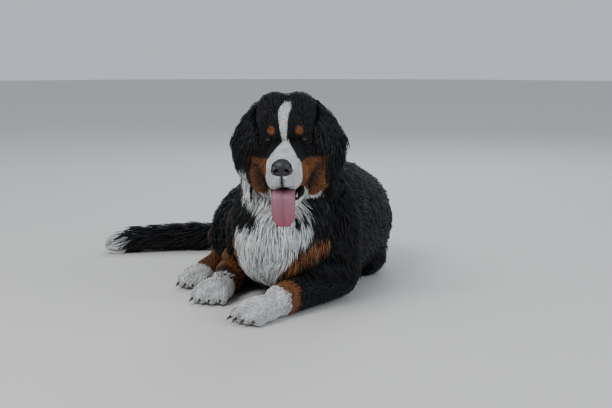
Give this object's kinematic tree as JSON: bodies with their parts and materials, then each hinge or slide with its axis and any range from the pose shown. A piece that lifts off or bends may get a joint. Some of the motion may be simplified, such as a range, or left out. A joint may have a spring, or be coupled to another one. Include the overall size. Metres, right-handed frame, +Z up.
{
  "type": "bernese mountain dog",
  "caption": "Life-size Bernese mountain dog lying with its head up, mouth open and tongue hanging, hind legs and long bushy tail out to one side.",
  "frame": {"origin": "middle of the box round the model, at the floor it lies on", "axes": "-Y the way the dog faces, +X to the dog's own left, +Z up"},
  "size_m": [0.8008, 1.0026, 0.4847],
  "materials": {
    "black_coat": "long glossy black fur",
    "white_coat": "white fur",
    "tan_coat": "rust tan fur",
    "nose_leather": "moist pebbled black skin",
    "tongue": "wet pink skin",
    "eye": "dark brown, glossy"
  },
  "bodies": {
    "root": {"ear_left": "black_coat", "ear_right": "black_coat", "eye_left": "eye", "eye_right": "eye", "forearm_left": "black_coat", "forearm_right": "black_coat", "forepaw_left": "white_coat", "forepaw_right": "white_coat", "head": "black_coat", "hindpaw_left": "white_coat", "hindpaw_right": "white_coat", "jaw": "white_coat", "neck": "black_coat", "nose": "nose_leather", "pastern_left": "tan_coat", "pastern_right": "tan_coat", "shank_right": "tan_coat", "tail": "black_coat", "thigh_left": "black_coat", "thigh_right": "black_coat", "tongue": "tongue", "torso": "black_coat", "upper_arm_left": "black_coat", "upper_arm_right": "black_coat"}
  },
  "joints": []
}
